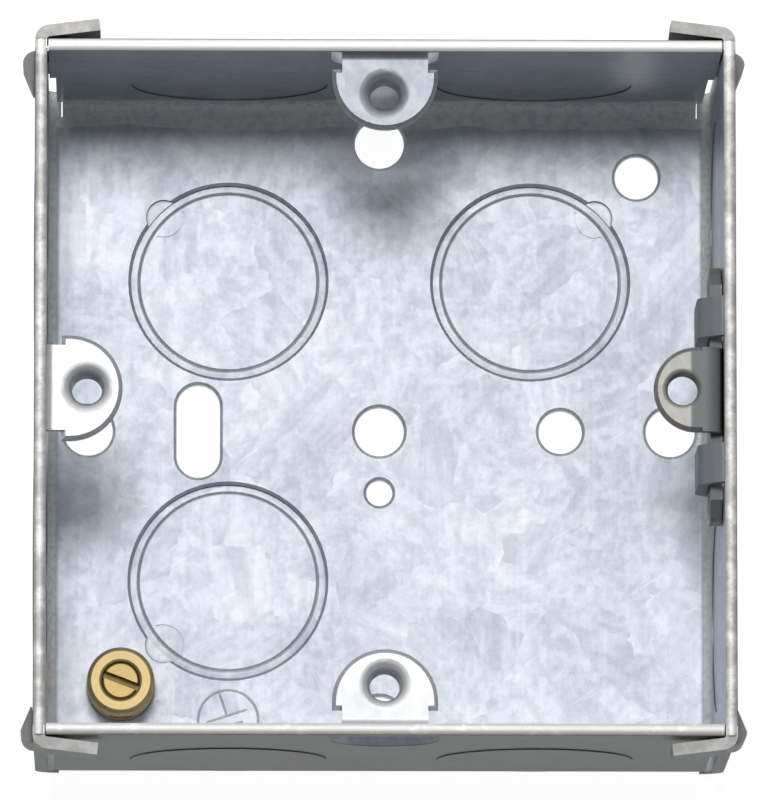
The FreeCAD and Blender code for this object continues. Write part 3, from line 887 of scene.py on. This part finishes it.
@dataclass
class EarthSign:
    """Sign for earth stamped into the back: a ring round a stem and three bars, each a low rounded bead."""

    centre: Spot = (-15.6 * MM, -30.1 * MM)
    level: float = 1.7 * MM
    turn: float = 18.0
    ring: float = 3.1 * MM
    width: float = 0.12 * MM
    height: float = 0.03 * MM
    stem: Span = (3.0 * MM, 0.45 * MM)
    # Place of each bar along the stem, and half its length
    bars: tuple[Span, ...] = ((0.45 * MM, 2.3 * MM), (-0.6 * MM, 1.5 * MM), (-1.6 * MM, 0.7 * MM))
    end_power: int = 8
    thin_end: float = 0.0004
    ring_points: int = 96
    line_points: int = 24
    profile_points: int = 12

    def bead(self, path: Array, closed: bool) -> tuple[Array, Array]:
        """Low bead along a line on the back: a half-sunk ellipse carried along the line, thin at open ends.

        Args:
            path: Points of the line, on the back.
            closed: Whether the line joins its own start.

        Returns:
            Points and quads of the bead.
        """
        step = np.roll(path, -1, axis=0) - np.roll(path, 1, axis=0)
        if not closed:
            step[0] = path[1] - path[0]
            step[-1] = path[-1] - path[-2]
        step /= np.linalg.norm(step, axis=1)[:, None]
        upward = np.tile(UP, (len(path), 1))
        across = np.cross(step, upward)
        profile = ellipse(self.width, self.height, self.profile_points)
        scale = np.ones(len(path))
        if not closed:
            share = np.linspace(-1.0, 1.0, len(path))
            scale = np.sqrt(np.clip(1.0 - share ** self.end_power, self.thin_end, 1.0))
        points = carried_profile(path, across, upward, profile, scale)
        return points.reshape(-1, 3), grid_quads(len(path), len(profile), closed, True)

    def straight(self, start: Spot, end: Spot) -> Array:
        """Points of a straight line on the back: (1 - share) * start + share * end.

        Args:
            start: First point, from the middle of the sign.
            end: Last point, from the middle of the sign.

        Returns:
            Points of the line, in place.
        """
        share = np.linspace(0.0, 1.0, self.line_points)[:, None]
        line = np.array(start)[None, :] * (1.0 - share) + np.array(end)[None, :] * share
        return self.placed(line)

    def placed(self, flat: Array) -> Array:
        """Points of the sign turned, moved to its centre and set at the level of the back.

        Args:
            flat: Points from the middle of the sign, two coordinates each.

        Returns:
            The points in place, three coordinates each.
        """
        angle = math.radians(self.turn)
        turned = flat @ np.array([[math.cos(angle), math.sin(angle)], [-math.sin(angle), math.cos(angle)]])
        return np.column_stack([turned + np.array(self.centre), np.full(len(flat), self.level)])

    def build(self) -> bpy.types.Object:
        """Join the ring, the stem and the three bars in one piece.

        Returns:
            The sign, in place on the back.
        """
        lines = [(self.placed(ellipse(self.ring, self.ring, self.ring_points)), True)]
        lines.append((self.straight((0.0, self.stem[0]), (0.0, self.stem[1])), False))
        lines += [(self.straight((-half, y), (half, y)), False) for y, half in self.bars]
        beads = [self.bead(path, closed) for path, closed in lines]
        starts = np.cumsum([0] + [len(points) for points, _ in beads])
        points = np.concatenate([points for points, _ in beads])
        quads = np.concatenate([quads + start for (_, quads), start in zip(beads, starts)])
        piece = mesh_piece("earth_sign", points, quads)
        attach(piece, Body.BOX.value)
        return piece


@dataclass
class FoldedBox:
    """Folded steel shell with the threads of its three fixed lugs and the earth sign on its back."""

    node: bpy.types.Object
    lug_offset: float = LUG_OFFSET
    thread_top: float = 32.3 * MM
    thread_bottom: float = 28.7 * MM
    finish: ZincFinish = ZincFinish("zinc_on_box")
    # Darker zinc on the sign's lines: painted shade and grime that make the low beads read as sunk lines.
    sign_shade_finish: ZincFinish = ZincFinish(
        "zinc_with_painted_groove_shade", pale=(0.50, 0.52, 0.52, 1.0), dull=(0.34, 0.36, 0.36, 1.0))

    def build(self) -> tuple[list[bpy.types.Object], bpy.types.Object]:
        """Make the threads and the sign.

        Returns:
            The threads, and the sign.
        """
        places = {
            "top": (0.0, self.lug_offset),
            "left": (-self.lug_offset, 0.0),
            "bottom": (0.0, -self.lug_offset),
        }
        threads = [
            ScrewThread(f"{side}_lug_thread", axis, self.thread_top, self.thread_bottom, Body.BOX).build()
            for side, axis in places.items()
        ]
        return threads, EarthSign().build()

    def dress(self, threads: list[bpy.types.Object], sign: bpy.types.Object) -> None:
        """Give the shell and its threads the zinc finish, and the lines of the sign a darker one with
        painted shade.
        """
        coat(self.finish.material(), [self.node] + threads)
        coat(self.sign_shade_finish.material(), [sign])


@dataclass
class SlidingLug:
    """Folded strip with its own screw hole, which slides under two loops of the right wall."""

    node: bpy.types.Object
    axis: Spot = (LUG_OFFSET, 0.0)
    thread_top: float = 33.0 * MM
    thread_bottom: float = 31.3 * MM
    finish: ZincFinish = ZincFinish(
        "zinc_on_lug",
        pale=(0.47, 0.47, 0.44, 1.0),
        dull=(0.22, 0.23, 0.23, 1.0),
        rubbed_and_painted_highlight=(0.48, 0.47, 0.43, 1.0),
        clouds=Grain(320.0, 4.0, 0.6),
        edge=NOWHERE,
    )

    def build(self) -> list[bpy.types.Object]:
        """Make the thread of the screw hole.

        Returns:
            The thread, alone in a list.
        """
        thread = ScrewThread(
            "sliding_lug_thread", self.axis, self.thread_top, self.thread_bottom, Body.SLIDING_LUG)
        return [thread.build()]

    def dress(self, pieces: list[bpy.types.Object]) -> None:
        """Give the strip and its thread a warmer and darker zinc finish."""
        coat(self.finish.material(), [self.node] + pieces)


@dataclass
class EarthTerminal:
    """Turned brass pillar with its slotted clamping screw."""

    pillar: bpy.types.Object
    screw: bpy.types.Object
    pillar_finish: BrassFinish = BrassFinish("brass_on_pillar")
    screw_finish: BrassFinish = BrassFinish(
        "brass_on_screw",
        bright=(0.74, 0.56, 0.24, 1.0),
        tarnish=(0.56, 0.40, 0.14, 1.0),
        # Dirt and painted shade darken the screw below 6.3 mm, fading out by 7.3 mm.
        dirt_and_shade_height=(6.3 * MM, 7.3 * MM),
    )

    def dress(self) -> None:
        """Give the pillar and the screw their brass finishes."""
        coat(self.pillar_finish.material(), [self.pillar])
        coat(self.screw_finish.material(), [self.screw])


def coat(material: bpy.types.Material, pieces: list[bpy.types.Object]) -> None:
    """Put one material in every slot of each piece.

    Args:
        material: Material to put on.
        pieces: Pieces that take it.
    """
    for piece in pieces:
        if not piece.material_slots:
            piece.data.materials.append(material)
        for slot in piece.material_slots:
            slot.material = material


@dataclass
class Studio:
    """Pale floor under the box, a key lamp high above, a weak soft lamp from its top side, a dim room."""

    floor_half: float = 2.0
    floor_points: int = 5
    floor_level: float = -0.05 * MM
    floor_colour: Colour = (0.28, 0.28, 0.28, 1.0)
    glow: float = 0.93
    # Strength of the room's light from the bottom side and from the top side, and where it changes
    room: Span = (0.09, 0.38)
    room_turn: Span = (-0.6, 0.6)
    key_place: Point = (-0.05, 0.276, 1.277)
    key_size: float = 0.26
    key_power: float = 4.45
    fill_place: Point = (-0.2, 0.9, 0.9)
    fill_size: float = 0.8
    fill_power: float = 1.2

    def floor_material(self) -> bpy.types.Material:
        """Matt floor that shows white to the eye and in reflections, and keeps the shadow of the box.

        Returns:
            The floor's material.
        """
        sheet = NodeSheet("studio_floor")
        matt = sheet.add("ShaderNodeBsdfDiffuse")
        matt.inputs["Color"].default_value = self.floor_colour
        glow = sheet.add("ShaderNodeEmission")
        rays = sheet.add("ShaderNodeLightPath")
        seen = sheet.greatest(*(rays.outputs[lobe.value] for lobe in Lobe))
        sheet.feed(glow.inputs["Strength"], sheet.product(seen, self.glow))
        both = sheet.add("ShaderNodeAddShader")
        sheet.feed(both.inputs[0], matt.outputs[0])
        sheet.feed(both.inputs[1], glow.outputs[0])
        sheet.feed(sheet.output.inputs["Surface"], both.outputs[0])
        return sheet.material

    def build_floor(self) -> bpy.types.Object:
        """Make the floor, a hair under the box: a grid (half * u, half * v, level), u and v from -1 to 1.

        Returns:
            The floor's object.
        """
        share = np.linspace(-1.0, 1.0, self.floor_points)
        u, v = np.meshgrid(share, share)
        level = np.full_like(u, self.floor_level)
        points = np.stack([self.floor_half * u, self.floor_half * v, level], axis=-1)
        quads = grid_quads(self.floor_points, self.floor_points, False, False)
        floor = mesh_piece("studio_floor", points, quads)
        coat(self.floor_material(), [floor])
        return floor

    def lamp(self, name: str, place: Point, size: float, power: float) -> bpy.types.Object:
        """Square soft lamp at a place, turned to the middle of the box.

        Args:
            name: Name of the lamp.
            place: Where it stands, in metres.
            size: Length of its side.
            power: Power in watts.

        Returns:
            The lamp's object.
        """
        light = bpy.data.lights.new(name, "AREA")
        light.shape = "SQUARE"
        light.size = size
        light.energy = power
        lamp = bpy.data.objects.new(name, light)
        lamp.location = place
        lamp.rotation_euler = Vector(place).to_track_quat("Z", "Y").to_euler()
        bpy.context.scene.collection.objects.link(lamp)
        return lamp

    def build_room(self) -> bpy.types.World:
        """Make the dim room, whose white light grows from the bottom side of the box to its top side.

        Returns:
            The room.
        """
        world = bpy.data.worlds.new("studio_room")
        world.use_nodes = True
        nodes, links = world.node_tree.nodes, world.node_tree.links
        background = nodes["Background"]
        background.inputs["Color"].default_value = WHITE
        direction = nodes.new("ShaderNodeTexCoord")
        split = nodes.new("ShaderNodeSeparateXYZ")
        strength = nodes.new("ShaderNodeMapRange")
        for socket, number in zip(strength.inputs[1:], (*self.room_turn, *self.room)):
            socket.default_value = number
        links.new(direction.outputs["Generated"], split.inputs[0])
        links.new(split.outputs["Y"], strength.inputs["Value"])
        links.new(strength.outputs[0], background.inputs["Strength"])
        return world

    def build(self) -> None:
        """Set the floor, the lamps and the dim room."""
        self.build_floor()
        self.lamp("key_lamp", self.key_place, self.key_size, self.key_power)
        self.lamp("fill_lamp", self.fill_place, self.fill_size, self.fill_power)
        scene = bpy.context.scene
        scene.world = self.build_room()
        scene.view_settings.view_transform = "Standard"


@dataclass
class Eye:
    """Camera at the photograph's viewing angle: slightly below and left of the middle of the open front."""

    aim: Point = (0.229 * MM, 1.0 * MM, 18.0 * MM)
    # Degrees that the view leans from straight above, along X and along Y
    lean: Span = (-1.083, -8.019)
    distance: float = 1325.9 * MM
    lens: float = 583.04
    sensor: float = 36.0
    clip: Span = (0.05, 20.0)

    def build(self) -> bpy.types.Object:
        """Place the camera at aim + distance * unit(tan lean x, tan lean y, 1), with Y up in the picture.

        Returns:
            The camera's object.
        """
        backward = Vector([math.tan(math.radians(angle)) for angle in self.lean] + [1.0]).normalized()
        right = Vector((0.0, 1.0, 0.0)).cross(backward).normalized()
        upward = backward.cross(right)
        turn = Matrix((right, upward, backward)).transposed().to_4x4()
        camera = bpy.data.cameras.new("eye")
        camera.sensor_width = self.sensor
        camera.lens = self.lens
        camera.clip_start, camera.clip_end = self.clip
        eye = bpy.data.objects.new("eye", camera)
        eye.matrix_world = Matrix.Translation(Vector(self.aim) + backward * self.distance) @ turn
        bpy.context.scene.collection.objects.link(eye)
        bpy.context.scene.camera = eye
        return eye


def main() -> None:
    """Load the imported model, dress its pieces, add the fine forms and set the studio and the camera."""
    logging.basicConfig(level=logging.INFO, format="%(name)s: %(message)s")
    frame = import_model()
    nodes = frame["nodes"]

    box = FoldedBox(nodes["box_shell"])
    threads, sign = box.build()
    box.dress(threads, sign)
    lug = SlidingLug(nodes["adjustable_lug"])
    lug_forms = lug.build()
    lug.dress(lug_forms)
    EarthTerminal(nodes["earth_terminal"], nodes["earth_screw"]).dress()
    for piece in list(nodes.values()) + threads + [sign] + lug_forms:
        LOG.info("%s: %d faces, %s", piece.name, len(piece.data.polygons), piece.active_material.name)

    Studio().build()
    Eye().build()


if __name__ == "__main__":
    main()
